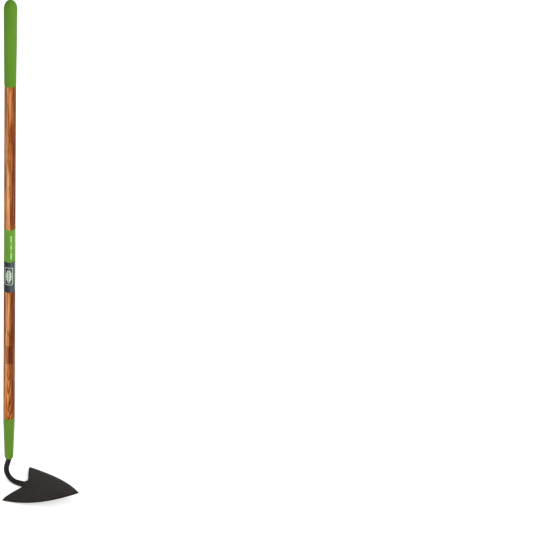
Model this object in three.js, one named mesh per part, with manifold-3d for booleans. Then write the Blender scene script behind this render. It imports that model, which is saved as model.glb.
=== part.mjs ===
// A Warren-type garden hoe: a heart-shaped blade on a swan-neck shank, driven into a long wooden handle.
// Millimetres. +Z runs up the handle, +X is where the blade points, and XZ is the plane of symmetry.
// Heights are written from the ferrule's lower rim; the whole hoe is then lowered so that the
// origin lies on the handle's axis at the middle of the end grip, where a hand holds it.

import * as THREE from "three";
import { mergeVertices } from "three/addons/utils/BufferGeometryUtils.js";
import Module from "manifold-3d";

// Handle
const HANDLE_RADIUS = 14.3; // a 1-1/8 in dowel
const ROUND_SIDES = 48;
const FIT_GAP = 0.3; // between pieces where one is cut to suit the other
const SLEEVE_GAP = 0.05; // between a round sleeve and the round wood inside it

// Ferrule
const FERRULE_LENGTH = 131.7;
const FERRULE_WALL = 1.2;
const FERRULE_STRAIGHT = 15; // the untapered band at the upper end
const FERRULE_LOW_RADIUS = 10.9; // just above the rolled rim
const FERRULE_RIM_HEIGHT = 5;
const FERRULE_RIM_CORNERS = [[1.2, 0.5], [0.4, 2]]; // of the rolled rim: how far in, how high
const FERRULE_MOUTH_RADIUS = 8.4;
const FERRULE_MOUTH_THICKNESS = 1.5;

// Label film
const LABEL_BOTTOM = 538.7;
const LABEL_LENGTH = 198.3;
const LABEL_THICKNESS = 0.15;

// End grip
const GRIP_BOTTOM = 1188;
const GRIP_DOME_BASE = 1423;
const GRIP_LOW_RADIUS = 15;
const GRIP_HIGH_RADIUS = 16.9;
const GRIP_DOME_HEIGHT = 27;
const GRIP_WALL = 2.4; // at its lower end
const GRIP_LIP = [0.8, 1.5]; // the bevel round its open end: how far in, how high
const GRIP_DOME_STEPS = 9;
const WOOD_END_RADIUS = GRIP_LOW_RADIUS - GRIP_WALL; // the stick is turned down inside the grip
const WOOD_END_HEIGHT = 1432;
const WOOD_END_CHAMFER = 6;

// Shank: a round rod whose upper end is a tapered tang inside the wood
const ROD_RADIUS = 6.5;
const ROD_SIDES = 20;
const ROD_STEPS = 60;
const TANG_ROOT_RADIUS = 6.9;
const TANG_TIP_RADIUS = 4.2;
const TANG_SHOULDER = 2; // height at which the tang starts to taper
const TANG_LENGTH = 108;
const TANG_FOOT = -6; // height down to which it overlaps the rod
const ROD_START = new THREE.Vector3(0, 0, 8);
const ROD_END = new THREE.Vector3(66, 0, -65.9);
const NECK_ROUTE = [
  ROD_START,
  new THREE.Vector3(0, 0, -5),
  new THREE.Vector3(-3.4, 0, -19.4),
  new THREE.Vector3(-6.5, 0, -36),
  new THREE.Vector3(-5.6, 0, -51),
  new THREE.Vector3(2, 0, -64.3),
  new THREE.Vector3(14, 0, -71.7),
  new THREE.Vector3(28, 0, -72.4),
  new THREE.Vector3(46, 0, -69.7),
  ROD_END,
];
const SCARF_START = 40; // from here the rod's end is forged down to a flat tongue
const SCARF_HALF_THICKNESS = 2;
const SCARF_ABOVE = 7.2; // how far the scarf starts above the blade's middle surface
const SCARF_BELOW = 13;

// Blade
const BLADE_THICKNESS = 3;
const EAR_X = 17.9;
const EAR_HALF_WIDTH = 72.5;
const EAR_HEIGHT = -70.7; // of the blade's middle surface on the line between the ears
const POINT_X = 195.9;
const POINT_HEIGHT = -35.2;
const BLADE_BOW = 5.5; // how far the blade sags below a straight line from ears to point
const BLADE_DISH = 6; // how far the ears lie below the blade's middle
const DISH_HALF_WIDTH = 70;

// Half of the blade's outline in plan, as [x, y], from beside the rod out to the ear and round to the point
const TONGUE = [36, 5.5];
const NOTCH_BENDS = [46.5, 7, 45.2, 13.6];
const NOTCH = [42.3, 22];
const BACK_BEND = [28, 47.6];
const EAR_BACK = [EAR_X + 1.4, EAR_HALF_WIDTH - 3.6];
const EAR_SIDE = [EAR_X + 4.2, EAR_HALF_WIDTH - 0.4];
const SIDE_BENDS = [87, 66, 140, 45.3];
const NEAR_TIP = [POINT_X - 4, 3.4];
const TIP_BEND = [POINT_X - 1.2, 0.9];
const TIP = [POINT_X - 1.2, 0];

// Welds and pin
const BEAD_RADIUS = 2.4;
const BEAD_START = 43;
const BEAD_END = 62;
const BEAD_OFFSET = 1.4; // of its centre from the rod's flank
const BEAD_LIFT = 0.8; // of its centre above the blade's upper face
const PIN_RADIUS = 2;
const PIN_HEIGHT = 58;
const PIN_END = 8.5; // how far it reaches past the axis
const PIN_HOLE_END = 9;
const PIN_HEAD_RADIUS = 3.2;
const PIN_HEAD_HEIGHT = 1.2;

const HOLD_HEIGHT = 1305; // middle of the end grip

const wasm = await Module();
wasm.setup();

function solidOf(geometry) {
  const bare = geometry.index ? geometry.toNonIndexed() : geometry.clone();
  bare.deleteAttribute("normal");
  bare.deleteAttribute("uv");
  const merged = mergeVertices(bare, 1e-4);
  const mesh = new wasm.Mesh({
    numProp: 3,
    vertProperties: new Float32Array(merged.attributes.position.array),
    triVerts: new Uint32Array(merged.index.array),
  });
  return new wasm.Manifold(mesh);
}

function geometryOf(solid) {
  const mesh = solid.getMesh();
  const geometry = new THREE.BufferGeometry();
  geometry.setAttribute("position", new THREE.BufferAttribute(mesh.vertProperties, 3));
  geometry.setIndex(new THREE.BufferAttribute(mesh.triVerts, 1));
  geometry.computeVertexNormals();
  return geometry;
}

// A turned piece: its profile is a list of [radius, height], up the outside and down the inside.
function turned(profile, sides = ROUND_SIDES) {
  const points = profile.map(([radius, height]) => new THREE.Vector2(radius, height));
  return new THREE.LatheGeometry(points, sides).rotateX(Math.PI / 2);
}

function swept(radius, sides, steps, route) {
  const section = new THREE.Shape();
  for (let i = 0; i < sides; i++) {
    const turn = (2 * Math.PI * i) / sides;
    const place = [radius * Math.cos(turn), radius * Math.sin(turn)];
    if (i === 0) section.moveTo(...place);
    else section.lineTo(...place);
  }
  return new THREE.ExtrudeGeometry(section, { steps, bevelEnabled: false, extrudePath: route });
}

// Height of the blade's middle surface over a point of the plan.
function bladeHeight(x, y) {
  const along = (x - EAR_X) / (POINT_X - EAR_X);
  const line = EAR_HEIGHT + (POINT_HEIGHT - EAR_HEIGHT) * along;
  return line - 4 * BLADE_BOW * along * (1 - along) - BLADE_DISH * (y / DISH_HALF_WIDTH) ** 2;
}

// A curved sheet of the given thickness that follows the blade's middle surface.
function bladeSheet(thickness) {
  const length = 200;
  const width = 160;
  const margin = 4; // behind the ears
  const sheet = new THREE.BoxGeometry(length, width, thickness, 32, 20, 1);
  sheet.translate(EAR_X - margin + length / 2, 0, 0);
  const place = sheet.attributes.position;
  for (let i = 0; i < place.count; i++) {
    place.setZ(i, place.getZ(i) + bladeHeight(place.getX(i), place.getY(i)));
  }
  return solidOf(sheet);
}

function heartPrism() {
  const outline = new THREE.Shape();
  outline.moveTo(TONGUE[0], 0);
  outline.lineTo(...TONGUE);
  outline.bezierCurveTo(...NOTCH_BENDS, ...NOTCH);
  outline.quadraticCurveTo(...BACK_BEND, ...EAR_BACK);
  outline.quadraticCurveTo(EAR_X, EAR_HALF_WIDTH, ...EAR_SIDE);
  outline.bezierCurveTo(...SIDE_BENDS, ...NEAR_TIP);
  outline.quadraticCurveTo(...TIP_BEND, ...TIP);
  const half = outline.getPoints(9);
  const other = half.slice(1, -1).reverse().map((p) => new THREE.Vector2(p.x, -p.y));
  const whole = new THREE.Shape([...half, ...other]);
  const depth = 120;
  const prism = new THREE.ExtrudeGeometry(whole, { depth, bevelEnabled: false });
  return solidOf(prism.translate(0, 0, -depth));
}

function neckRoute() {
  return new THREE.CatmullRomCurve3(NECK_ROUTE, false, "centripetal");
}

// Keeps the rod whole up to the scarf, and from there a wedge that thins towards the rod's end.
function scarfWedge() {
  const side = new THREE.Shape();
  const behind = -40;
  const reach = 140; // above and below, past the whole shank
  const far = ROD_END.x + 2;
  const endHeight = bladeHeight(ROD_END.x, 0);
  const startHeight = bladeHeight(SCARF_START, 0);
  side.moveTo(behind, reach);
  side.lineTo(behind, -reach);
  side.lineTo(SCARF_START, -reach);
  side.lineTo(SCARF_START, startHeight - SCARF_BELOW);
  side.lineTo(far, endHeight - SCARF_HALF_THICKNESS);
  side.lineTo(far, endHeight + SCARF_HALF_THICKNESS);
  side.lineTo(SCARF_START, startHeight + SCARF_ABOVE);
  side.lineTo(SCARF_START, reach);
  const depth = 60;
  const prism = new THREE.ExtrudeGeometry(side, { depth, bevelEnabled: false });
  return solidOf(prism.rotateX(Math.PI / 2).translate(0, depth / 2, 0));
}

// The room that the rod takes out of the pieces beside it.
function rodClearance() {
  return solidOf(swept(ROD_RADIUS + FIT_GAP, ROD_SIDES, ROD_STEPS, neckRoute()));
}

function pinHole() {
  const radius = PIN_RADIUS + FIT_GAP;
  const length = 60;
  const hole = new THREE.CylinderGeometry(radius, radius, length, 16);
  return solidOf(hole.rotateZ(Math.PI / 2).translate(PIN_HOLE_END - length / 2, 0, PIN_HEIGHT));
}

function ferruleOuterRadius(height) {
  const top = FERRULE_LENGTH - FERRULE_STRAIGHT;
  const share = (height - FERRULE_RIM_HEIGHT) / (top - FERRULE_RIM_HEIGHT);
  return THREE.MathUtils.lerp(FERRULE_LOW_RADIUS, HANDLE_RADIUS, Math.min(share, 1));
}

function ferruleGeometry() {
  const straightFrom = FERRULE_LENGTH - FERRULE_STRAIGHT;
  const shell = turned([
    [FERRULE_MOUTH_RADIUS, 0],
    ...FERRULE_RIM_CORNERS.map(([inwards, height]) => [FERRULE_LOW_RADIUS - inwards, height]),
    [FERRULE_LOW_RADIUS, FERRULE_RIM_HEIGHT],
    [HANDLE_RADIUS, straightFrom],
    [HANDLE_RADIUS, FERRULE_LENGTH],
    [HANDLE_RADIUS - FERRULE_WALL, FERRULE_LENGTH],
    [HANDLE_RADIUS - FERRULE_WALL, straightFrom],
    [FERRULE_LOW_RADIUS - FERRULE_WALL, FERRULE_RIM_HEIGHT],
    [FERRULE_MOUTH_RADIUS, FERRULE_MOUTH_THICKNESS],
    [FERRULE_MOUTH_RADIUS, 0],
  ]);
  return geometryOf(solidOf(shell).subtract(pinHole()));
}

function handleGeometry() {
  const inFerrule = FERRULE_WALL + SLEEVE_GAP;
  const woodBottom = FERRULE_RIM_HEIGHT + 1;
  const boreTop = TANG_LENGTH + 2;
  const stick = turned([
    [0, boreTop],
    [TANG_TIP_RADIUS + FIT_GAP, boreTop],
    [TANG_ROOT_RADIUS + FIT_GAP, woodBottom],
    [ferruleOuterRadius(woodBottom) - inFerrule, woodBottom],
    [HANDLE_RADIUS - inFerrule, FERRULE_LENGTH - FERRULE_STRAIGHT],
    [HANDLE_RADIUS - inFerrule, FERRULE_LENGTH + SLEEVE_GAP],
    [HANDLE_RADIUS, FERRULE_LENGTH + SLEEVE_GAP],
    [HANDLE_RADIUS, GRIP_BOTTOM - SLEEVE_GAP],
    [WOOD_END_RADIUS, GRIP_BOTTOM - SLEEVE_GAP],
    [WOOD_END_RADIUS, WOOD_END_HEIGHT - WOOD_END_CHAMFER],
    [WOOD_END_RADIUS - WOOD_END_CHAMFER, WOOD_END_HEIGHT],
    [0, WOOD_END_HEIGHT],
  ]);
  return geometryOf(solidOf(stick).subtract(pinHole()));
}

function labelGeometry() {
  const inner = HANDLE_RADIUS + SLEEVE_GAP;
  const outer = inner + LABEL_THICKNESS;
  const top = LABEL_BOTTOM + LABEL_LENGTH;
  return turned([
    [inner, LABEL_BOTTOM],
    [outer, LABEL_BOTTOM],
    [outer, top],
    [inner, top],
    [inner, LABEL_BOTTOM],
  ]);
}

function gripGeometry() {
  const ceiling = WOOD_END_HEIGHT + SLEEVE_GAP;
  const inner = WOOD_END_RADIUS + SLEEVE_GAP;
  const profile = [
    [0, ceiling],
    [inner - WOOD_END_CHAMFER, ceiling],
    [inner, ceiling - WOOD_END_CHAMFER],
    [inner, GRIP_BOTTOM],
    [GRIP_LOW_RADIUS - GRIP_LIP[0], GRIP_BOTTOM],
    [GRIP_LOW_RADIUS, GRIP_BOTTOM + GRIP_LIP[1]],
  ];
  for (let i = 0; i < GRIP_DOME_STEPS; i++) {
    const turn = (Math.PI / 2) * (i / GRIP_DOME_STEPS);
    const height = GRIP_DOME_BASE + GRIP_DOME_HEIGHT * Math.sin(turn);
    profile.push([GRIP_HIGH_RADIUS * Math.cos(turn), height]);
  }
  profile.push([0, GRIP_DOME_BASE + GRIP_DOME_HEIGHT]);
  return turned(profile);
}

function shankGeometry() {
  const rod = solidOf(swept(ROD_RADIUS, ROD_SIDES, ROD_STEPS, neckRoute()));
  const tang = turned([
    [0, TANG_FOOT],
    [ROD_RADIUS - 0.2, TANG_FOOT],
    [TANG_ROOT_RADIUS, TANG_SHOULDER],
    [TANG_TIP_RADIUS, TANG_LENGTH],
    [0, TANG_LENGTH],
  ]);
  const whole = rod.intersect(scarfWedge()).add(solidOf(tang));
  return geometryOf(whole.subtract(pinHole()));
}

function bladeGeometry() {
  return geometryOf(bladeSheet(BLADE_THICKNESS).intersect(heartPrism()).subtract(rodClearance()));
}

// A run of weld in the corner between the rod's flank and the blade's upper face; side is 1 or -1.
function weldBeadGeometry(side) {
  const lift = BLADE_THICKNESS / 2 + BEAD_LIFT;
  const reach = ROD_RADIUS + BEAD_OFFSET;
  const route = new THREE.CatmullRomCurve3(
    [BEAD_START, (BEAD_START + BEAD_END) / 2, BEAD_END].map(
      (x) => new THREE.Vector3(x, side * reach, bladeHeight(x, reach) + lift),
    ),
  );
  const bead = solidOf(swept(BEAD_RADIUS, 12, 6, route));
  const plateRoom = bladeSheet(BLADE_THICKNESS + 2 * FIT_GAP);
  return geometryOf(bead.subtract(rodClearance()).subtract(plateRoom));
}

// A headed pin from the back of the ferrule, through the wood and the tang.
function pinGeometry() {
  const seat = ferruleOuterRadius(PIN_HEIGHT) + FIT_GAP;
  const pin = turned([
    [0, -PIN_END],
    [PIN_RADIUS, -PIN_END],
    [PIN_RADIUS, seat],
    [PIN_HEAD_RADIUS, seat],
    [PIN_HEAD_RADIUS * 0.8, seat + PIN_HEAD_HEIGHT * 0.75],
    [PIN_HEAD_RADIUS * 0.4, seat + PIN_HEAD_HEIGHT],
    [0, seat + PIN_HEAD_HEIGHT],
  ], 16);
  return pin.rotateY(-Math.PI / 2).translate(0, 0, PIN_HEIGHT);
}

function piece(name, geometry, color, roughness, metalness) {
  const mesh = new THREE.Mesh(geometry, new THREE.MeshStandardMaterial({ color, roughness, metalness }));
  mesh.name = name;
  return mesh;
}

const hoe = new THREE.Group();
hoe.position.z = -HOLD_HEIGHT;
hoe.add(piece("wood_handle", handleGeometry(), 0xaf733f, 0.45, 0));
hoe.add(piece("end_grip", gripGeometry(), 0x5f8e31, 0.75, 0));
hoe.add(piece("label_wrap", labelGeometry(), 0x64943a, 0.35, 0));
hoe.add(piece("ferrule", ferruleGeometry(), 0x5f8831, 0.35, 0.2));
hoe.add(piece("gooseneck_shank", shankGeometry(), 0x363332, 0.55, 0.6));
hoe.add(piece("heart_blade", bladeGeometry(), 0x363332, 0.55, 0.6));
hoe.add(piece("weld_bead_left", weldBeadGeometry(1), 0x363332, 0.6, 0.6));
hoe.add(piece("weld_bead_right", weldBeadGeometry(-1), 0x363332, 0.6, 0.6));
hoe.add(piece("ferrule_pin", pinGeometry(), 0x8c8c88, 0.4, 0.8));

export default hoe;
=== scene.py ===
"""Looks for the heart-bladed garden hoe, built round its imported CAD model. Metres, in the CAD's frame."""

import math

import bpy
from mathutils import Matrix, Vector
from mathutils.geometry import delaunay_2d_cdt
from mathutils.kdtree import KDTree


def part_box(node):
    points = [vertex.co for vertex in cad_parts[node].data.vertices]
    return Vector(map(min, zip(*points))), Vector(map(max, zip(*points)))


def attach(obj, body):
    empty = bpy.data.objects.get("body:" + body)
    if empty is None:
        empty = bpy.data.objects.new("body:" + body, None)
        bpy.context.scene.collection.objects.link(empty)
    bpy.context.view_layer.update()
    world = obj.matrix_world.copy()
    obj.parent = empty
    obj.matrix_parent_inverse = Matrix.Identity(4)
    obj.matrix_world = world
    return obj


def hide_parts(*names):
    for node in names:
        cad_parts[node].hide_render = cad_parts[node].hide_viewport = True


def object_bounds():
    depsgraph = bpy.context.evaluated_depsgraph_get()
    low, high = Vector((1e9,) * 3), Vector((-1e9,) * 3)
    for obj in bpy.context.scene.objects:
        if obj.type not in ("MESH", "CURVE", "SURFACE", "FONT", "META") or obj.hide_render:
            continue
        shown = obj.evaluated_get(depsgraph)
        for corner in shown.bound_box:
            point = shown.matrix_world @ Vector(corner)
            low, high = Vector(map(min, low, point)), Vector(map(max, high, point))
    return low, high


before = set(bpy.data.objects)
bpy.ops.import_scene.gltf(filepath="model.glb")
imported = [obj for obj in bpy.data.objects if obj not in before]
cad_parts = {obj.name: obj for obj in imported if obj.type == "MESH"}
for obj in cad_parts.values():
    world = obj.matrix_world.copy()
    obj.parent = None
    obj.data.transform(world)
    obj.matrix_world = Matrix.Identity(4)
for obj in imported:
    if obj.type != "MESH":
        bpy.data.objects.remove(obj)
cad_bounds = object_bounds()

# Where the camera stands, and so where the print on the label faces: degrees from -Y towards +X.
CAMERA_AZIMUTH = 27.4
CAMERA_ELEVATION = 39.95
CAMERA_ROLL = 0.765
LENS = 1500.0  # long, so that the view is almost parallel
SENSOR = 36.0
VIEW_WIDTH = 1.3108  # what the frame spans at the object
VIEW_RIGHT = 0.6272  # from the ferrule's lower rim to the middle of the frame
VIEW_UP = 0.4769

# Boxes read from the frame
wood_low, wood_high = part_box("wood_handle")
ferrule_low, ferrule_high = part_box("ferrule")
label_low, label_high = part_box("label_wrap")
grip_low, grip_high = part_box("end_grip")
blade_low, blade_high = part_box("heart_blade")
rod_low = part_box("gooseneck_shank")[0]
HANDLE_RADIUS = wood_high.x
RIM = ferrule_low.z  # the heights below are written from the ferrule's lower rim

# Handle and grip
ROUND_SIDES = 96
SLEEVE_GAP = 0.00005  # between a sleeve and the wood inside it
BORE_TOP = 0.110  # just over the tang's tip
BORE_GAP = 0.0003  # between the tang and the wood
WOOD_END_CHAMFER = 0.006
GRIP_WALL = 0.0024
GRIP_TAPER = 0.0019  # how much the grip's radius grows from its lip to its dome
GRIP_DOME_HEIGHT = 0.027
GRIP_LIP = (0.0009, 0.0010)  # the rounding of its open end: how far in, how high
GRIP_UNEVENNESS = 0.00006  # how high each of its two waves is

# Label film
FILM_GAP = 0.00004  # between the film and the wood
LAP_THICKNESS = 0.00012
LAP_HALF_TURN = 0.3  # radians to either side of the lap's middle

# Ferrule
FERRULE_WALL = 0.0012
FERRULE_MOUTH_RADIUS = 0.0084  # of the hole in its rolled rim
FERRULE_LIP = [(0, 0.0009), (0.0004, 0.0002), (0.0011, 0)]  # of that hole, from inside: how far out, how high
FERRULE_LIP_TOP = 0.0016
FERRULE_CURL = (0.0032, 0.0049)  # of the rolled rim's outer side: how far in, how high
FERRULE_RIM_HEIGHT = 0.005
FERRULE_LOW_RADIUS = 0.0109  # just above the rolled rim
FERRULE_BAND = 0.1167  # where the taper ends and the straight band starts
WOOD_FOOT = 0.006  # where the wood inside it starts

# Shank: a round rod whose upper end is a tapered tang inside the wood
ROD_RADIUS = 0.0065
ROD_SIDES = 40
TANG_ROOT_RADIUS = 0.0069
TANG_TIP_RADIUS = 0.0042
TANG_LENGTH = 0.108  # from the rim up
TANG_SHOULDER = 0.002  # height at which the tang starts to taper
TANG_FOOT = -0.012  # height from which the rod widens to the tang
LAST_RUN = -0.06  # height below which the rod bends and runs forward to the blade
SCARF_START = 0.036  # from here the rod's end is drawn down to a flat tongue
SCARF_DEPTH = 0.0052
SCARF_ROUNDING = 0.008  # of the tongue's end, in plan
ROD_SWELL = 0.0006  # towards the blade
ROD_SWELL_SPAN = (0.014, 0.032)  # how far forward it starts and is full
THINNEST = 0.0004  # a section's least half width or half height

# Blade
BLADE_THICKNESS = 0.003
EDGE_THICKNESS = 0.0009
BEVEL = 0.007
BEVEL_ROWS = (0.0012, 0.0028, 0.0048, BEVEL, BEVEL + 0.0008, BEVEL + 0.003)  # how far inside the outline
GRID_START = BEVEL + 0.005  # an even grid of points fills the rest
GRID_PITCH = 0.004
BLADE_BOW = 0.0055  # how far the blade sags below a straight line from ears to point
BLADE_DISH = 0.006  # how far the ears lie below the blade's middle
DISH_HALF_WIDTH = 0.07  # where the dish is that deep
PAINTED_SHADE_OUTLINE = 0.0046  # width of the painted shade along the blade's outline

# Half of the blade's outline in plan, from beside the rod out to the ear and round to the point
EAR = Vector((blade_low.x, blade_high.y))
POINT = Vector((blade_high.x, 0))
TONGUE = Vector((0.0360, 0.0055))
SLOT_CORNER = Vector((TONGUE.x, 0.004))
NOTCH_BENDS = [(0.0465, 0.0070), (0.0452, 0.0136)]
NOTCH = Vector((0.0423, 0.0220))
BACK_BEND = (0.0280, 0.0476)
EAR_BACK = EAR + Vector((0.0014, -0.0036))
EAR_SIDE = EAR + Vector((0.0042, -0.0004))
SIDE_BENDS = [(0.087, 0.066), (0.140, 0.0453)]
NEAR_POINT = POINT + Vector((-0.0028, 0.0034))
POINT_BEND = POINT + Vector((0, 0.0009))

# Welds and pin
WELD_RUN = [(0.0415, 0.0062), (0.0450, 0.0078), (0.0510, 0.0076)]  # its points in plan, but for the last
WELD_END = 0.0064  # how far the last point lies from the middle
WELD_SIDES = 20
WELD_LIFT = 0.0002  # of its centre above the blade's upper face
WELD_TIP_RADIUS = 0.0003
WELD_SWELL = 0.0019  # how much its radius grows where it is fullest
WELD_WIDTH, WELD_HEIGHT = 1.3, 0.85  # of its oval section, in radii
WELD_RIPPLE = 0.025  # of the swell
WELD_PASS = 0.0021  # length of a ripple
PIN_RADIUS = 0.002
PIN_HEIGHT = 0.058
PIN_END = 0.0085  # how far it reaches past the axis
PIN_CHAMFER = (0.0004, 0.0006)  # how far in, how long
PIN_HEAD = (0.0032, 0.0012)  # radius and height
PIN_BRIM = 0.0002  # the gap under its head, and the bevel under the head's dome


# ---------------------------------------------------------------- meshes


def mesh_piece(name, vertices, faces, material, sharp=35.0):
    """A smooth-shaded object, with hard edges where faces meet at more than `sharp` degrees."""
    mesh = bpy.data.meshes.new(name)
    mesh.from_pydata([tuple(v) for v in vertices], [], faces)
    mesh.validate()
    mesh.shade_smooth()
    mesh.set_sharp_from_angle(angle=math.radians(sharp))
    mesh.materials.append(material)
    piece = bpy.data.objects.new(name, mesh)
    bpy.context.scene.collection.objects.link(piece)
    return piece


def rings_to_faces(rings, sides, closed):
    """Quads between rings of `sides` points each; closed also joins the last ring to the first."""
    faces = []
    for r in range(rings if closed else rings - 1):
        a, b = r * sides, (r + 1) % rings * sides
        for i in range(sides):
            j = (i + 1) % sides
            faces.append((a + i, a + j, b + j, b + i))
    return faces


def turned(name, profile, material, swell=None, sharp=35.0):
    """A piece turned about the Z axis from [(radius, height)].

    The profile starts and ends on the axis, or closes on itself. swell(turn, height) adds to the radius.
    """
    on_axis = profile[0][0] == 0
    body = profile[1:-1] if on_axis else profile
    vertices = []
    for radius, height in body:
        for i in range(ROUND_SIDES):
            turn = 2 * math.pi * i / ROUND_SIDES
            r = radius + (swell(turn, height) if swell else 0)
            vertices.append((r * math.cos(turn), r * math.sin(turn), height))
    faces = rings_to_faces(len(body), ROUND_SIDES, closed=not on_axis)
    if on_axis:
        first, last = len(vertices), len(vertices) + 1
        vertices += [(0, 0, profile[0][1]), (0, 0, profile[-1][1])]
        last_ring = (len(body) - 1) * ROUND_SIDES
        for i in range(ROUND_SIDES):
            j = (i + 1) % ROUND_SIDES
            faces.append((first, j, i))
            faces.append((last, last_ring + i, last_ring + j))
    return mesh_piece(name, vertices, faces, material, sharp)


def straight(start, end, steps):
    """Points of a straight run of a profile, without its last one."""
    return [
        (start[0] + (end[0] - start[0]) * k / steps, start[1] + (end[1] - start[1]) * k / steps)
        for k in range(steps)
    ]


def arc(centre, radii, first, last, steps):
    """Points of an elliptical arc of a profile, in degrees from outwards, counted towards up."""
    points = []
    for k in range(steps + 1):
        turn = math.radians(first + (last - first) * k / steps)
        points.append((centre[0] + radii[0] * math.cos(turn), centre[1] + radii[1] * math.sin(turn)))
    return points


def lofted(name, stations, sides, material):
    """A closed tube through stations of (centre, across, up, half width, half height)."""
    vertices = []
    for centre, across, up, wide, high in stations:
        for i in range(sides):
            turn = 2 * math.pi * i / sides
            vertices.append(centre + across * (wide * math.cos(turn)) + up * (high * math.sin(turn)))
    faces = rings_to_faces(len(stations), sides, closed=False)
    faces.append(tuple(reversed(range(sides))))
    last_ring = (len(stations) - 1) * sides
    faces.append(tuple(last_ring + i for i in range(sides)))
    return mesh_piece(name, vertices, faces, material, sharp=40.0)


# ---------------------------------------------------------------- node materials


class Nodes:
    """Short names for building a material's nodes. Places are in metres, and masks run from 0 to 1."""

    def __init__(self, name):
        self.material = bpy.data.materials.new(name)
        self.material.use_nodes = True
        self.tree = self.material.node_tree
        self.shader = self.tree.nodes["Principled BSDF"]
        self.place = self.tree.nodes.new("ShaderNodeTexCoord").outputs["Object"]

    def put(self, socket, value):
        if isinstance(value, bpy.types.NodeSocket):
            self.tree.links.new(value, socket)
        else:
            socket.default_value = value

    def math(self, operation, a, b=0.0, c=0.0):
        node = self.tree.nodes.new("ShaderNodeMath")
        node.operation = operation
        for socket, value in zip(node.inputs, (a, b, c)):
            self.put(socket, value)
        return node.outputs[0]

    def add(self, a, b):
        return self.math("ADD", a, b)

    def minus(self, a, b):
        return self.math("SUBTRACT", a, b)

    def times(self, a, b):
        return self.math("MULTIPLY", a, b)

    def scaled(self, value, factor, offset):
        """value times factor, plus offset."""
        return self.math("MULTIPLY_ADD", value, factor, offset)

    def least(self, a, b):
        return self.math("MINIMUM", a, b)

    def most(self, a, b):
        return self.math("MAXIMUM", a, b)

    def length(self, a, b):
        """How long a step of a one way and b the other is."""
        return self.math("SQRT", self.add(self.times(a, a), self.times(b, b)))

    def waves(self, value, half_pitch):
        """Rises from 0 to half_pitch and falls back, over and over."""
        return self.math("PINGPONG", value, half_pitch)

    def dot(self, vector):
        """How far the shaded point lies along a fixed direction."""
        node = self.tree.nodes.new("ShaderNodeVectorMath")
        node.operation = "DOT_PRODUCT"
        self.put(node.inputs[0], self.place)
        node.inputs[1].default_value = vector
        return node.outputs["Value"]

    def stretched(self, x, y, z):
        """The place, scaled so that noise has about this many features in a metre each way."""
        node = self.tree.nodes.new("ShaderNodeMapping")
        self.put(node.inputs["Vector"], self.place)
        node.inputs["Scale"].default_value = (x, y, z)
        return node.outputs[0]

    def noise(self, vector, scale=1.0, detail=2.0, roughness=0.5):
        node = self.tree.nodes.new("ShaderNodeTexNoise")
        self.put(node.inputs["Vector"], vector)
        node.inputs["Scale"].default_value = scale
        node.inputs["Detail"].default_value = detail
        node.inputs["Roughness"].default_value = roughness
        return node.outputs["Fac"]

    def cells(self, vector, scale):
        node = self.tree.nodes.new("ShaderNodeTexVoronoi")
        self.put(node.inputs["Vector"], vector)
        node.inputs["Scale"].default_value = scale
        return node.outputs["Distance"]

    def ramp(self, value, stops):
        """stops is [(place, colour or grey)]."""
        node = self.tree.nodes.new("ShaderNodeValToRGB")
        self.put(node.inputs["Fac"], value)
        while len(node.color_ramp.elements) < len(stops):
            node.color_ramp.elements.new(0.5)
        for element, (place, colour) in zip(node.color_ramp.elements, stops):
            element.position = place
            element.color = colour if isinstance(colour, tuple) else (colour, colour, colour, 1)
        return node.outputs["Color"]

    def rising(self, value, low, high):
        """0 up to low and 1 from high."""
        return self.ramp(value, [(low, 0.0), (high, 1.0)])

    def shades(self, value, dark, light, low=0.3, high=0.7):
        """A colour from dark to light, each as srgb takes it, as the value goes from low to high."""
        return self.ramp(value, [(low, srgb(*dark)), (high, srgb(*light))])

    def mix(self, share, a, b, blend="MIX"):
        node = self.tree.nodes.new("ShaderNodeMix")
        node.data_type = "RGBA"
        node.blend_type = blend
        for socket, value in zip((node.inputs[0], node.inputs[6], node.inputs[7]), (share, a, b)):
            self.put(socket, value)
        return node.outputs[2]

    def within(self, value, low, high, soft):
        """A mask: 1 between low and high, with an edge `soft` wide at each of them."""
        rise = self.minus(value, low - soft / 2)
        fall = self.minus(high + soft / 2, value)
        nearer = self.math("DIVIDE", self.least(rise, fall), soft)
        return self.least(self.most(nearer, 0.0), 1.0)

    def below(self, value, high, soft):
        """A mask of the values below high, for values that are never under -1."""
        return self.within(value, -1.0, high, soft)

    def above(self, value, low, soft):
        """A mask of the values above low, for values that are never over 1."""
        return self.within(value, low, 1.0, soft)

    def both(self, *masks):
        result = masks[0]
        for mask in masks[1:]:
            result = self.times(result, mask)
        return result

    def either(self, *masks):
        result = masks[0]
        for mask in masks[1:]:
            result = self.most(result, mask)
        return result

    def bump(self, height, distance, strength):
        node = self.tree.nodes.new("ShaderNodeBump")
        self.put(node.inputs["Height"], height)
        node.inputs["Distance"].default_value = distance
        node.inputs["Strength"].default_value = strength
        self.put(self.shader.inputs["Normal"], node.outputs[0])

    def finish(self, colour, roughness, **constants):
        """Colour and roughness may be sockets; every other value is set on the shader itself."""
        self.put(self.shader.inputs["Base Color"], colour)
        self.put(self.shader.inputs["Roughness"], roughness)
        for name, value in constants.items():
            self.shader.inputs[name.replace("_", " ")].default_value = value
        return self.material


def srgb(red, green, blue):
    """A colour as it is seen on a screen, 0 to 255, turned into the linear values that a shader takes."""
    linear = []
    for value in (red, green, blue):
        share = value / 255
        linear.append(share / 12.92 if share <= 0.04045 else ((share + 0.055) / 1.055) ** 2.4)
    return (*linear, 1.0)


def facing_axes():
    """The level directions towards the camera and to its right."""
    turn = math.radians(CAMERA_AZIMUTH)
    return (math.sin(turn), -math.cos(turn), 0), (math.cos(turn), math.sin(turn), 0)


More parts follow.
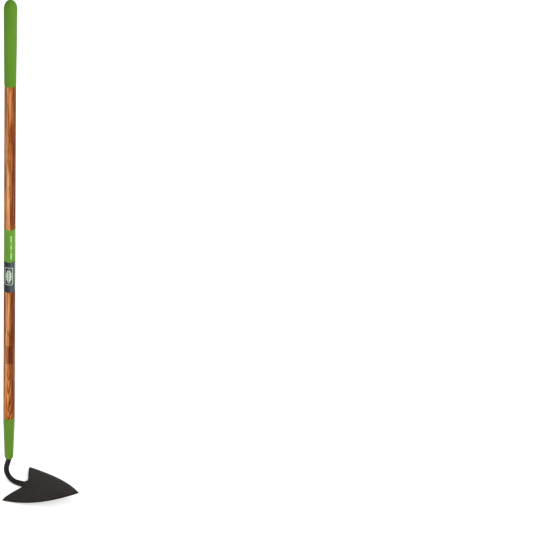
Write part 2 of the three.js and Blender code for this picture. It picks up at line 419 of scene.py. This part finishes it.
def round_the_handle(n):
    """The distance round the handle from its front line, to the right, and the height above the rim."""
    front, right = facing_axes()
    angle = n.math("ARCTAN2", n.dot(right), n.dot(front))
    return n.times(angle, HANDLE_RADIUS), n.minus(n.dot((0, 0, 1)), RIM)


def leaf_mark(n, around, height, middle, half_width, half_height, line, burnt=False):
    """A mask of a plain leaf, its line width given by `line`.

    It is printed, with bare veins and a thin round-cornered frame, or burnt, as its veins alone.
    """
    off = n.math("ABSOLUTE", n.minus(around, middle[0]))
    along = n.minus(height, middle[1])
    end = n.math("ABSOLUTE", along)
    soft = line / 4

    corner = line * 2
    past_x = n.most(n.minus(off, half_width - corner), 0.0)
    past_y = n.most(n.minus(end, half_height - corner), 0.0)
    reach = n.length(past_x, past_y)
    deepest = n.most(n.minus(off, half_width), n.minus(end, half_height))
    to_edge = n.most(n.minus(reach, corner), deepest)
    frame_line = n.within(to_edge, -line, 0.0, soft)

    margin = line * 2.2  # from the frame's outer edge to the leaf
    leaf_width, leaf_height = half_width - margin, half_height - margin
    share = n.math("DIVIDE", along, leaf_height)
    edge = n.times(n.minus(1.0, n.times(share, share)), leaf_width)
    leaf = n.above(n.minus(edge, off), 0.0, soft)

    slope, side_half_width, middle_half_width = 0.9, line * 0.55, line * 0.35  # of the veins
    pitch = line * 1.9 if burnt else half_height / 6
    slant = n.minus(along, n.times(off, slope))
    side_veins = n.below(n.waves(slant, pitch), side_half_width, soft)
    veins = n.most(n.below(off, middle_half_width, soft), side_veins)
    if burnt:
        return n.times(leaf, veins)
    leaf = n.times(leaf, n.minus(1.0, veins))
    return n.most(leaf, frame_line)


def growth_layers(n, front, right, near_head):
    """Bands of early and late wood, 0 to 1: growth rings round the tree's heart, behind the stick.

    They waver along the stick, and near the head they cross it in points.
    """
    heart_behind, ring_width = 0.045, 0.0016
    bend_depth, waver_depth, slope_depth = 0.013, 0.0022, 0.0080  # how far each shifts the rings in depth
    sway_width, sway_start = 0.050, -0.0262  # how far they shift sideways
    bend = n.noise(n.stretched(9, 9, 3.6), detail=1.0)
    waver = n.noise(n.stretched(140, 140, 13))
    sway = n.scaled(n.noise(n.stretched(1, 1, 7.3), detail=1.0), sway_width, sway_start)
    sway = n.times(sway, n.most(n.minus(1.0, near_head), 0.0))
    side = n.add(n.dot(right), sway)
    depth = n.scaled(bend, bend_depth, n.dot(front))
    depth = n.scaled(waver, waver_depth, depth)
    depth = n.scaled(n.times(near_head, near_head), -slope_depth, depth)
    depth = n.add(depth, heart_behind)
    ring = n.math("FRACT", n.math("DIVIDE", n.length(depth, side), ring_width))
    return n.ramp(ring, [(0.0, 0.0), (0.16, 0.10), (0.42, 0.78), (0.88, 1.0), (1.0, 0.0)])


def sapwood_and_painted_light(n, right, near_head):
    """How pale the wood is across the stick: partly sapwood, partly painted light on the camera's left and
    painted shade on its right, evened out near the head.
    """
    wobble = n.noise(n.stretched(45, 45, 6), detail=3.0)
    side = n.math("DIVIDE", n.dot(right), 2 * HANDLE_RADIUS)
    side = n.add(n.scaled(wobble, 0.80, 0.10), side)
    # Painted light and shade: pale on the camera's left and dark on its right, as well as sapwood.
    sap_and_painted_light = n.ramp(side, [(0.02, 0.25), (0.14, 0.78), (0.36, 0.94), (0.50, 0.64), (0.60, 0.34), (0.86, 0.0)])
    average = 0.64
    evened = n.times(n.least(near_head, 1.0), 0.55)
    return n.scaled(n.minus(average, sap_and_painted_light), evened, sap_and_painted_light)


def burnt_mark(n, colour, around, height):
    """The wood's colour with a scorched field and a leaf burnt into it, and the leaf's mask."""
    leaf = {"middle": (0.0006, 0.3395), "half_width": 0.0152, "half_height": 0.0310, "line": 0.0020}
    field_around, field_heights, field_edge = (-0.0105, 0.0105), (0.3105, 0.3685), 0.002
    mark = leaf_mark(n, around, height, **leaf, burnt=True)
    scorch = n.both(n.within(around, *field_around, field_edge), n.within(height, *field_heights, field_edge))
    char = n.scaled(n.noise(n.stretched(500, 500, 220), detail=3.0), 0.6, 0.7)
    colour = n.mix(n.times(scorch, n.times(char, 0.80)), colour, srgb(190, 167, 178), "MULTIPLY")
    burnt = n.times(mark, n.times(char, 0.55))
    return n.mix(burnt, colour, srgb(62, 18, 10)), mark


def wood_material():
    """Stained ash, paler down the camera's left with sapwood and painted light, darker down its right with
    painted shade, with open pores and fine fibres.
    """
    n = Nodes("stained_wood")
    front, right = facing_axes()
    around, height = round_the_handle(n)
    points_from, points_span = 0.30, 0.17  # from here down, the growth rings run into points
    near_head = n.most(n.math("DIVIDE", n.minus(points_from, height), points_span), 0.0)
    layers = growth_layers(n, front, right, near_head)
    streaks = n.noise(n.stretched(330, 330, 7), detail=3.0, roughness=0.65)
    fibres = n.noise(n.stretched(700, 700, 13), roughness=0.6)
    pores = n.ramp(n.noise(n.stretched(2100, 2100, 70), roughness=0.6), [(0.34, 1.0), (0.44, 0.0)])
    pores = n.times(pores, n.minus(1.0, layers))
    beside_mark = n.within(height, 0.300, 0.380, 0.06)

    # The tone is 0 in the darkest wood and 1 in the palest. Noise is 0.5 on average, so that each noise's
    # offset, about half of its factor, keeps the average tone where it is.
    contrast = n.least(n.scaled(near_head, 0.45, 0.22), 0.62)
    # The tone starts from the sapwood with its painted light and shade, and the growth rings.
    tone = n.scaled(sapwood_and_painted_light(n, right, near_head), 0.74, n.times(n.minus(layers, 0.55), contrast))
    tone = n.add(tone, n.scaled(streaks, 1.65, -0.795))
    tone = n.add(tone, n.scaled(fibres, 0.85, -0.425))
    tone = n.scaled(pores, -0.20, tone)
    tone = n.scaled(beside_mark, 0.17, tone)

    stains = [(82, 31, 8), (129, 64, 23), (164, 98, 46), (195, 133, 82), (217, 168, 117)]
    colour = n.ramp(tone, [(k / (len(stains) - 1), srgb(*stain)) for k, stain in enumerate(stains)])
    redder = n.below(height, 0.26, 0.14)  # towards the head
    colour = n.mix(n.times(redder, 0.8), colour, srgb(252, 230, 190), "MULTIPLY")
    colour, mark = burnt_mark(n, colour, around, height)

    hollows = n.add(n.times(pores, -0.6), n.times(mark, -1.0))
    n.bump(hollows, distance=0.00012, strength=0.6)
    roughness = n.scaled(pores, 0.18, 0.36)
    return n.finish(colour, roughness, Coat_Weight=0.03, Coat_Roughness=0.25, Specular_IOR_Level=0.04)


def grip_material():
    """Matt green rubber with a fine grain and a few pale scuffs."""
    n = Nodes("soft_grip")
    cloud = n.noise(n.stretched(30, 30, 9), detail=3.0)
    speckle = n.noise(n.place, scale=2600.0, roughness=0.7)
    tone = n.add(n.times(cloud, 0.6), n.times(speckle, 0.4))
    colour = n.shades(tone, (80, 124, 29), (92, 137, 37))
    scuffs = n.rising(n.noise(n.stretched(90, 90, 25), detail=4.0, roughness=0.65), 0.62, 0.74)
    colour = n.mix(n.times(scuffs, 0.10), colour, srgb(128, 170, 92))
    n.bump(n.noise(n.place, scale=1700.0, detail=3.0, roughness=0.65), distance=0.00016, strength=0.7)
    roughness = n.scaled(cloud, 0.16, 0.60)
    return n.finish(colour, roughness, Sheen_Weight=0.02, Sheen_Roughness=0.4, Specular_IOR_Level=0.10)


def label_material():
    """Printed film: green above and slate below, with plain bars, a framed leaf and a row of ticks, and a
    painted highlight on the slate.
    """
    n = Nodes("label_film")
    around, height = round_the_handle(n)
    bottom = label_low.z - RIM
    border = bottom + 0.0963  # between the two fields
    ink_edge = 0.0003  # how soft the print's edges are
    pale_ink, grey_ink = srgb(196, 222, 172), srgb(190, 206, 184)
    bars_around, ticks_around = (0.0024, 0.0054), (0.0152, 0.0182)
    leaf = {"middle": (-0.0018, bottom + 0.0522), "half_width": 0.0108, "half_height": 0.0274, "line": 0.0016}

    green = n.shades(n.noise(n.stretched(40, 40, 12)), (87, 135, 31), (95, 143, 39))
    slate = n.shades(n.noise(n.stretched(50, 50, 30), detail=3.0), (10, 11, 14), (20, 22, 26))
    turn_share = n.scaled(around, 0.5 / (math.pi * HANDLE_RADIUS), 0.5)
    # Painted highlight: the slate is painted lighter just right of the front line, where a gloss highlight
    # falls.
    painted_highlight = [(0.0, 0.10), (0.28, 0.0), (0.42, 0.08), (0.50, 0.36), (0.567, 0.80), (0.62, 0.36), (1.0, 0.10)]
    slate = n.mix(n.ramp(turn_share, painted_highlight), slate, srgb(86, 94, 103))  # painted highlight, lighter right of the front line
    colour = n.mix(n.within(height, border, border + 1, 0.0004), slate, green)

    bar_spans = [(0.010, 0.031), (0.034, 0.037), (0.041, 0.054), (0.058, 0.061), (0.065, 0.084)]
    run = n.minus(height, border)
    bars = n.either(*[n.within(run, low, high, ink_edge) for low, high in bar_spans])
    strokes = n.above(n.waves(height, 0.0013), 0.00035, 0.0002)
    bars = n.both(n.within(around, *bars_around, ink_edge), bars, strokes)
    colour = n.mix(bars, colour, pale_ink)

    colour = n.mix(leaf_mark(n, around, height, **leaf), colour, grey_ink)

    margin = 0.006  # between the row of ticks and the slate field's ends
    ticks = n.both(
        n.within(around, *ticks_around, ink_edge),
        n.within(height, bottom + margin, border - margin, ink_edge),
        n.above(n.waves(height, 0.0019), 0.0009, ink_edge),
    )
    colour = n.mix(ticks, colour, pale_ink)

    n.bump(n.noise(n.stretched(220, 220, 60)), distance=0.00008, strength=0.5)
    roughness = n.scaled(n.noise(n.place, scale=180.0, detail=3.0), 0.14, 0.24)
    return n.finish(colour, roughness, Coat_Weight=0.04, Coat_Roughness=0.16, Specular_IOR_Level=0.10)


def ferrule_material():
    """Green paint with a slight orange peel, chipped round the lower rim."""
    n = Nodes("green_paint")
    height = n.minus(n.dot((0, 0, 1)), RIM)
    cloud = n.noise(n.stretched(35, 35, 14), detail=3.0)
    colour = n.shades(cloud, (79, 120, 21), (88, 129, 27))
    chips = n.rising(n.noise(n.place, scale=420.0, detail=4.0, roughness=0.7), 0.60, 0.66)
    near_rim = n.within(height, -0.01, 0.0035, 0.004)
    colour = n.mix(n.times(chips, n.times(near_rim, 0.7)), colour, srgb(150, 168, 120))
    n.bump(n.noise(n.place, scale=620.0), distance=0.00010, strength=0.5)
    roughness = n.scaled(cloud, 0.12, 0.36)
    return n.finish(colour, roughness, Coat_Weight=0.05, Coat_Roughness=0.22, Specular_IOR_Level=0.14)


def steel_material():
    """Black paint on forged steel, with painted shade: darker on the rod, and darker along the blade's
    outline, where the mesh's `rim` attribute marks an edge.
    """
    n = Nodes("black_steel")
    cloud = n.noise(n.place, scale=26.0, detail=4.0, roughness=0.6)
    grit = n.noise(n.place, scale=900.0, detail=3.0, roughness=0.65)
    tone = n.add(n.times(cloud, 0.7), n.times(grit, 0.3))
    # Painted shade: the rod gets a darker copy of the blade's black paint.
    on_rod = n.shades(tone, (16, 15, 15), (28, 26, 25), 0.34, 0.66)
    on_blade = n.shades(tone, (38, 34, 32), (52, 46, 45), 0.34, 0.66)
    forward = n.above(n.dot((1, 0, 0)), 0.036, 0.030)
    beside = n.above(n.math("ABSOLUTE", n.dot((0, 1, 0))), 0.015, 0.007)
    colour = n.mix(n.most(forward, beside), on_rod, on_blade)
    brushed = n.noise(n.stretched(14, 160, 160), detail=3.0, roughness=0.6)
    scuffs = n.times(n.rising(brushed, 0.58, 0.72), 0.20)
    colour = n.mix(scuffs, colour, srgb(70, 66, 63))
    # Painted shade along the blade's outline, from the mesh's rim attribute.
    rim = n.tree.nodes.new("ShaderNodeAttribute")
    rim.attribute_name = "rim"
    colour = n.mix(n.times(rim.outputs["Fac"], 0.80), colour, srgb(7, 6, 6))
    n.bump(grit, distance=0.00014, strength=0.6)
    roughness = n.scaled(cloud, 0.22, 0.46)
    return n.finish(colour, roughness, Metallic=0.0, Specular_IOR_Level=0.16)


def pin_material():
    """Zinc-plated steel with its spangle."""
    n = Nodes("pin_steel")
    spangle = n.cells(n.place, scale=900.0)
    colour = n.shades(spangle, (128, 128, 124), (168, 168, 163), 0.1, 0.8)
    n.bump(n.noise(n.place, scale=1500.0), distance=0.00005, strength=0.5)
    return n.finish(colour, n.scaled(spangle, 0.2, 0.35), Metallic=0.9)


def floor_material():
    n = Nodes("pale_floor")
    colour = n.shades(n.noise(n.place, scale=3.0, detail=3.0), (234, 234, 233), (238, 238, 237))
    n.bump(n.noise(n.place, scale=700.0), distance=0.0001, strength=0.3)
    return n.finish(colour, 0.9, Emission_Color=(1, 1, 1, 1), Emission_Strength=0.46, Specular_IOR_Level=0.1)


# ---------------------------------------------------------------- the handle and what is on it


def ferrule_radius(height):
    """The ferrule's outer radius at a height above its rim, up to its untapered band."""
    share = (height - FERRULE_RIM_HEIGHT) / (FERRULE_BAND - FERRULE_RIM_HEIGHT)
    return FERRULE_LOW_RADIUS + (HANDLE_RADIUS - FERRULE_LOW_RADIUS) * min(max(share, 0.0), 1.0)


def make_handle():
    """The stick: bored for the tang, turned down inside the ferrule and again inside the grip."""
    sleeve = FERRULE_WALL + SLEEVE_GAP
    band = RIM + FERRULE_BAND
    bore_top = RIM + BORE_TOP
    top = ferrule_high.z
    shoulder = top + 0.0001  # clears the ferrule's mouth
    rounding = 0.0005  # of that shoulder
    step = grip_low.z - SLEEVE_GAP
    bevel = 0.0004  # of the step under the grip
    inner = HANDLE_RADIUS - sleeve
    end_radius = grip_high.x - GRIP_TAPER - GRIP_WALL
    profile = [(0, bore_top), (TANG_TIP_RADIUS + BORE_GAP, bore_top)]
    profile += [(TANG_ROOT_RADIUS + BORE_GAP, wood_low.z)]
    profile += straight((ferrule_radius(WOOD_FOOT) - sleeve, wood_low.z), (inner, band), steps=12)
    profile += [(inner, band), (inner, top)]
    profile += arc((HANDLE_RADIUS - rounding, shoulder + rounding), (rounding, rounding), -90, 0, steps=3)
    profile += straight((HANDLE_RADIUS, top + 3 * rounding), (HANDLE_RADIUS, step - 2 * rounding), steps=60)
    profile += [(HANDLE_RADIUS, step - bevel), (HANDLE_RADIUS - bevel, step)]
    profile += [(end_radius, step), (end_radius, wood_high.z - WOOD_END_CHAMFER)]
    profile += [(end_radius - WOOD_END_CHAMFER, wood_high.z), (0, wood_high.z)]
    piece = turned("wood_handle_stick", profile, wood_material())
    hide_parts("wood_handle")
    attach(piece, "root")


def make_grip():
    """A soft sleeve with a rolled lower lip, a slight swell towards its end and a bullet-shaped dome."""
    high_radius = grip_high.x
    low_radius = high_radius - GRIP_TAPER
    inner = low_radius - GRIP_WALL + SLEEVE_GAP
    ceiling = wood_high.z + SLEEVE_GAP
    dome_base = grip_high.z - GRIP_DOME_HEIGHT
    lip_in, lip_high = GRIP_LIP
    chamfer_end = ceiling - WOOD_END_CHAMFER
    lip_edge = grip_low.z + 0.0002
    profile = [(0, ceiling), (inner - WOOD_END_CHAMFER, ceiling), (inner, chamfer_end)]
    profile += straight((inner, chamfer_end - 0.001), (inner, lip_edge), steps=8)
    profile += arc((low_radius - lip_in, grip_low.z + lip_high), GRIP_LIP, -90, 0, steps=6)
    profile += straight((low_radius, grip_low.z + 2 * lip_high), (high_radius, dome_base), steps=60)
    profile += arc((0, dome_base), (high_radius, GRIP_DOME_HEIGHT), 0, 90, steps=24)[:-1]
    profile += [(0, grip_high.z)]

    def squeeze(turn, height):
        """The slight unevenness of a moulded sleeve, never outside its straight taper."""
        wave = math.sin(3 * turn + 40 * height) + math.sin(2 * turn - 23 * height)
        return GRIP_UNEVENNESS * (wave - 2)

    piece = turned("end_grip_sleeve", profile, grip_material(), swell=squeeze)
    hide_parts("end_grip")
    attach(piece, "root")


def make_label():
    """A film wrapped once round the wood, with its free edge lapped over itself at the back."""
    inner = HANDLE_RADIUS + FILM_GAP
    outer = label_high.x
    lap_middle = math.radians(CAMERA_AZIMUTH + 90)
    corners = [(inner, label_low.z), (outer, label_low.z), (outer, label_high.z), (inner, label_high.z)]
    profile = []
    for start, end, steps in zip(corners, corners[1:] + corners[:1], (1, 30, 1, 4)):
        profile += straight(start, end, steps)

    def lap(turn, _height):
        off = abs((turn - lap_middle + math.pi) % (2 * math.pi) - math.pi)
        return LAP_THICKNESS if off < LAP_HALF_TURN else 0.0

    piece = turned("label_wrap_film", profile, label_material(), swell=lap, sharp=25.0)
    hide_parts("label_wrap")
    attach(piece, "root")


def make_ferrule():
    """A tapered steel socket with a thin rounded mouth above and a rolled-in rim below."""
    band = RIM + FERRULE_BAND
    top = ferrule_high.z
    half_wall = FERRULE_WALL / 2
    curl_top = RIM + FERRULE_RIM_HEIGHT
    profile = [(FERRULE_MOUTH_RADIUS + out, RIM + up) for out, up in FERRULE_LIP]
    profile += arc((FERRULE_LOW_RADIUS - FERRULE_CURL[0], curl_top), FERRULE_CURL, -75, 0, steps=10)
    profile += straight((ferrule_radius(WOOD_FOOT), RIM + WOOD_FOOT), (HANDLE_RADIUS, band), steps=40)
    profile += straight((HANDLE_RADIUS, band), (HANDLE_RADIUS, top - half_wall), steps=6)
    profile += arc((HANDLE_RADIUS - half_wall, top - half_wall), (half_wall, half_wall), 0, 180, steps=8)
    profile += [(HANDLE_RADIUS - FERRULE_WALL, band), (FERRULE_LOW_RADIUS - FERRULE_WALL, curl_top)]
    profile += [(FERRULE_MOUTH_RADIUS, RIM + FERRULE_LIP_TOP)]
    piece = turned("ferrule_socket", profile, ferrule_material())
    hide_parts("ferrule")
    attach(piece, "root")


# ---------------------------------------------------------------- the head


ear_middle = blade_low.z + BLADE_THICKNESS / 2 + BLADE_DISH * (blade_high.y / DISH_HALF_WIDTH) ** 2
point_middle = blade_high.z - BLADE_THICKNESS / 2


def blade_height(x, y):
    """The blade's middle surface: bowed from ears to point, and dished from side to side."""
    along = (x - blade_low.x) / (blade_high.x - blade_low.x)
    straight_line = ear_middle + (point_middle - ear_middle) * along
    bow = 4 * BLADE_BOW * along * (1 - along)
    return straight_line - bow - BLADE_DISH * (y / DISH_HALF_WIDTH) ** 2


def bezier(points, steps):
    """Points of a quadratic or cubic curve, without its last one."""
    found = []
    for k in range(steps):
        row, t = [Vector(p) for p in points], k / steps
        while len(row) > 1:
            row = [a.lerp(b, t) for a, b in zip(row, row[1:])]
        found.append(row[0])
    return found


def heart_outline():
    """Half of the blade in plan: its square back from slot to ear, and its ground side from ear to point."""
    square = [Vector((TONGUE.x, 0)), SLOT_CORNER]
    square += bezier([TONGUE, *NOTCH_BENDS, NOTCH], steps=20)
    square += bezier([NOTCH, BACK_BEND, EAR_BACK], steps=40)
    ground = bezier([EAR_BACK, EAR, EAR_SIDE], steps=8)
    ground += bezier([EAR_SIDE, *SIDE_BENDS, NEAR_POINT], steps=110)
    ground += bezier([NEAR_POINT, POINT_BEND, POINT], steps=6) + [POINT]
    return square, ground


def mirrored(points):
    return [Vector((p.x, -p.y)) for p in reversed(points)]


def nearest_on(points, closed):
    """A tree of close-set points along a line, for finding how far away the line is."""
    parts = 8
    pairs = list(zip(points, points[1:] + points[:1] if closed else points[1:]))
    fine = [a.lerp(b, k / parts) for a, b in pairs for k in range(parts)]
    tree = KDTree(len(fine))
    for k, p in enumerate(fine):
        tree.insert((p.x, p.y, 0), k)
    tree.balance()
    return tree


def gap(tree, point):
    """How far a point lies from the line of a tree."""
    return tree.find((point.x, point.y, 0))[2]


def inside(point, outline):
    """Whether a line from the point towards +X crosses the outline an odd number of times."""
    crossings = 0
    for a, b in zip(outline, outline[1:] + outline[:1]):
        if (a.y > point.y) != (b.y > point.y):
            crossings += point.x < a.x + (b.x - a.x) * (point.y - a.y) / (b.y - a.y)
    return crossings % 2 == 1


def points_inside(outline, border):
    """Rows of points that follow the outline inwards, and an even grid in the middle."""
    tolerance = 0.97  # leaves out the points of a row that lie nearer to another stretch of the outline
    found = []
    for depth in BEVEL_ROWS:
        for before, here, after in zip(outline[-1:] + outline, outline, outline[1:] + outline[:1]):
            side = after - before
            spot = here + Vector((side.y, -side.x)).normalized() * depth
            if gap(border, spot) > depth * tolerance and inside(spot, outline):
                found.append(spot)
    rows = int(blade_high.y / GRID_PITCH)
    columns = int((blade_high.x - blade_low.x) / GRID_PITCH) + 1
    for i in range(columns):
        for j in range(-rows, rows + 1):
            spot = Vector((blade_low.x + GRID_PITCH * i, GRID_PITCH * j))
            if inside(spot, outline) and gap(border, spot) > GRID_START:
                found.append(spot)
    return found


def make_blade(material):
    """Two curved faces that draw together over a ground bevel along the cutting sides."""
    square, ground = heart_outline()
    outline = square + ground + mirrored(ground[:-1]) + mirrored(square[1:])
    border = nearest_on(outline, closed=True)
    cutting = nearest_on(ground + mirrored(ground[:-1]), closed=False)
    edges = [(k, (k + 1) % len(outline)) for k in range(len(outline))]
    keep_inside, merge_distance = 1, 1e-7
    spots = outline + points_inside(outline, border)
    flat, _, triangles, *_ = delaunay_2d_cdt(spots, edges, [], keep_inside, merge_distance)

    upper, lower = [], []
    for p in flat:
        middle = blade_height(p.x, p.y)
        share = min(gap(cutting, p) / BEVEL, 1.0)
        thickness = EDGE_THICKNESS + (BLADE_THICKNESS - EDGE_THICKNESS) * share
        lower.append((p.x, p.y, middle - BLADE_THICKNESS / 2))
        upper.append((p.x, p.y, middle - BLADE_THICKNESS / 2 + thickness))

    half = len(flat)
    sides = {(a, b) for t in triangles for a, b in zip(t, (*t[1:], t[0]))}
    faces = [tuple(t) for t in triangles]
    faces += [tuple(half + k for k in reversed(t)) for t in triangles]
    faces += [(b, a, half + a, half + b) for a, b in sorted(sides) if (b, a) not in sides]
    piece = mesh_piece("heart_blade_plate", upper + lower, faces, material, sharp=12.0)
    # The rim attribute marks the outline, where the steel material paints shade.
    rim = piece.data.attributes.new("rim", "FLOAT", "POINT")
    rim.data.foreach_set("value", [max(1 - gap(border, p) / PAINTED_SHADE_OUTLINE, 0.0) for p in [*flat, *flat]])
    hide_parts("heart_blade")
    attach(piece, "root")


def neck_route():
    """Points that the shank's centre line passes, from inside the ferrule to its end on the blade."""
    rear = rod_low.x + ROD_RADIUS  # where the neck bulges furthest back
    route = [(0, 0.008), (0, -0.005), (-0.0034, -0.0194), (rear, -0.036), (-0.0056, -0.051)]
    route += [(0.002, -0.0643), (0.014, -0.0717), (0.028, -0.0724), (0.046, -0.0697), (0.066, -0.0659)]
    return [Vector((x, 0, RIM + z)) for x, z in route]


def centripetal(a, b, c, d, share):
    """A point between b and c on the smooth curve that passes a, b, c and d."""
    t0, t1 = 0, math.sqrt((b - a).length)
    t2 = t1 + math.sqrt((c - b).length)
    t3 = t2 + math.sqrt((d - c).length)
    t = t1 + (t2 - t1) * share
    ab = a.lerp(b, (t - t0) / (t1 - t0))
    bc = b.lerp(c, (t - t1) / (t2 - t1))
    cd = c.lerp(d, (t - t2) / (t3 - t2))
    return ab.lerp(bc, (t - t0) / (t2 - t0)).lerp(bc.lerp(cd, (t - t1) / (t3 - t1)), share)


def smooth_route(points, steps):
    """Points along a smooth curve through the given ones, with this many steps between each two."""
    ends = [points[0] * 2 - points[1], *points, points[-1] * 2 - points[-2]]
    runs = zip(ends, ends[1:], ends[2:], ends[3:])
    return [centripetal(*run, k / steps) for run in runs for k in range(steps)] + [points[-1]]


def smoothstep(low, high, value):
    """0 up to low and 1 from high, with a soft start and end between them."""
    share = min(max((value - low) / (high - low), 0.0), 1.0)
    return share * share * (3 - 2 * share)


def stations_along(route, half_sizes, across=None):
    """Loft stations on a route, where half_sizes gives (half width, half height) at a point.

    Each section is level across: along `across` if it is given, and otherwise square to the route in plan.
    """
    stations = []
    for before, here, after in zip(route[:1] + route, route, route[1:] + route[-1:]):
        ahead = (after - before).normalized()
        side = across or Vector((-ahead.y, ahead.x, 0)).normalized()
        wide, high = half_sizes(here)
        stations.append((here, side, ahead.cross(side), wide, high))
    return stations


def make_shank(material):
    """The tang, the round neck, and an end that is forged down to a flat tongue on the blade."""
    tang_steps = 8
    tang_top = RIM + TANG_LENGTH
    neck = smooth_route(neck_route(), steps=14)
    tang = [Vector((0, 0, tang_top - (tang_top - neck[0].z) * k / tang_steps)) for k in range(tang_steps)]
    end = neck[-1].x

    def half_sizes(spot):
        height = spot.z - RIM
        if height > TANG_SHOULDER:
            share = (height - TANG_SHOULDER) / (TANG_LENGTH - TANG_SHOULDER)
            radius = TANG_ROOT_RADIUS + (TANG_TIP_RADIUS - TANG_ROOT_RADIUS) * share
            return radius, radius
        radius = ROD_RADIUS + (TANG_ROOT_RADIUS - ROD_RADIUS) * smoothstep(TANG_FOOT, TANG_SHOULDER, height)
        if height >= LAST_RUN:
            return radius, radius
        radius += ROD_SWELL * smoothstep(*ROD_SWELL_SPAN, spot.x)
        near_end = smoothstep(end - SCARF_ROUNDING, end + 0.0003, spot.x)
        wide = radius * math.sqrt(max(1 - near_end ** 2, 0.0))
        high = radius - SCARF_DEPTH * smoothstep(SCARF_START, end, spot.x)
        return max(wide, THINNEST), max(high, THINNEST)

    stations = stations_along(tang + neck, half_sizes, across=Vector((0, 1, 0)))
    piece = lofted("gooseneck_shank_rod", stations, ROD_SIDES, material)
    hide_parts("gooseneck_shank")
    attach(piece, "root")


def make_weld_bead(side, node, material):
    """A run of weld from the rod's flank over the corner of the blade's notch, rippled by its passes."""
    plan = [*WELD_RUN, (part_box(node)[1].x, WELD_END)]
    route = smooth_route([Vector((x, side * y, 0)) for x, y in plan], steps=20)
    for spot in route:
        spot.z = blade_height(spot.x, spot.y) + BLADE_THICKNESS / 2 + WELD_LIFT
    length = route[-1].x - route[0].x

    def half_sizes(spot):
        run = spot.x - route[0].x
        ripple = 1 + WELD_RIPPLE * math.sin(2 * math.pi * run / WELD_PASS)
        fullness = math.sin(math.pi * (run / length) ** 0.8) ** 0.7  # fullest a little behind its middle
        radius = WELD_TIP_RADIUS + WELD_SWELL * fullness * ripple
        return radius * WELD_WIDTH, radius * WELD_HEIGHT

    piece = lofted(node + "_run", stations_along(route, half_sizes), WELD_SIDES, material)
    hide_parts(node)
    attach(piece, "root")


def make_pin():
    """A low round-headed pin, driven in from the back of the ferrule."""
    seat = ferrule_radius(PIN_HEIGHT) + PIN_BRIM
    dome = seat + PIN_BRIM
    chamfer_in, chamfer_long = PIN_CHAMFER
    head_radius, head_height = PIN_HEAD
    profile = [(0, -PIN_END), (PIN_RADIUS - chamfer_in, -PIN_END)]
    profile += straight((PIN_RADIUS, chamfer_long - PIN_END), (PIN_RADIUS, seat), steps=4)
    profile += [(PIN_RADIUS, seat), (head_radius - PIN_BRIM, seat)]
    profile += arc((0, dome), PIN_HEAD, 0, 90, steps=14)[:-1]
    profile += [(0, dome + head_height)]
    piece = turned("ferrule_pin_round_head", profile, pin_material())
    piece.data.transform(Matrix.Translation((0, 0, RIM + PIN_HEIGHT)) @ Matrix.Rotation(-math.pi / 2, 4, "Y"))
    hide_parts("ferrule_pin")
    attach(piece, "root")


# ---------------------------------------------------------------- stage, lights and camera


def towards(azimuth, elevation):
    """The direction from the object to something that stands at these angles in degrees."""
    a, e = math.radians(azimuth), math.radians(elevation)
    return Vector((math.sin(a) * math.cos(e), -math.cos(a) * math.cos(e), math.sin(e)))


def make_floor():
    """A wide pale plane, a little below the CAD's box because the rod's swell reaches below it."""
    reach, level = 40.0, cad_bounds[0].z - 0.0004
    corners = [(-reach, -reach, level), (reach, -reach, level), (reach, reach, level), (-reach, reach, level)]
    floor = mesh_piece("studio_floor", corners, [(0, 1, 2, 3)], floor_material())


def make_sun(name, azimuth, elevation, strength, softness):
    """A distant lamp in the given direction from the object, which looks `softness` degrees wide."""
    light = bpy.data.lights.new(name, "SUN")
    light.energy = strength
    light.angle = math.radians(softness)
    lamp = bpy.data.objects.new(name, light)
    lamp.rotation_euler = (-towards(azimuth, elevation)).to_track_quat("-Z", "Y").to_euler()
    bpy.context.scene.collection.objects.link(lamp)


def make_light():
    """Two soft suns, and an even glow that looks as white as the floor but gives half as much light."""
    world = bpy.data.worlds.new("studio")
    world.use_nodes = True
    glow = world.node_tree.nodes["Background"]
    glow.inputs["Color"].default_value = (1, 1, 1, 1)
    seen = world.node_tree.nodes.new("ShaderNodeLightPath").outputs["Is Camera Ray"]
    strength = world.node_tree.nodes.new("ShaderNodeMapRange")
    strength.inputs["To Min"].default_value = 0.5
    world.node_tree.links.new(seen, strength.inputs["Value"])
    world.node_tree.links.new(strength.outputs["Result"], glow.inputs["Strength"])
    bpy.context.scene.world = world
    make_sun("key", azimuth=CAMERA_AZIMUTH + 40, elevation=35, strength=1.5, softness=35)
    make_sun("top", azimuth=CAMERA_AZIMUTH + 15, elevation=74, strength=0.72, softness=50)
    bpy.context.scene.view_settings.view_transform = "Standard"


def make_camera():
    """A long lens far away, aimed so that the hoe lies in the frame as it does in the photograph."""
    back = towards(CAMERA_AZIMUTH, CAMERA_ELEVATION)
    right = Vector(facing_axes()[1])
    up = back.cross(right)
    target = Vector((0, 0, RIM)) + right * VIEW_RIGHT + up * VIEW_UP
    distance = VIEW_WIDTH * LENS / SENSOR
    camera = bpy.data.objects.new("camera", bpy.data.cameras.new("camera"))
    camera.data.lens, camera.data.sensor_width = LENS, SENSOR
    camera.data.clip_start, camera.data.clip_end = 1.0, 3 * distance
    camera.location = target + back * distance
    turn = Matrix((right, up, back)).transposed() @ Matrix.Rotation(math.radians(CAMERA_ROLL), 3, "Z")
    camera.rotation_euler = turn.to_euler()
    bpy.context.scene.collection.objects.link(camera)
    bpy.context.scene.camera = camera


make_camera()
make_light()
make_floor()
make_handle()
make_grip()
make_label()
make_ferrule()
steel = steel_material()
make_shank(steel)
make_blade(steel)
make_weld_bead(1, "weld_bead_left", steel)
make_weld_bead(-1, "weld_bead_right", steel)
make_pin()
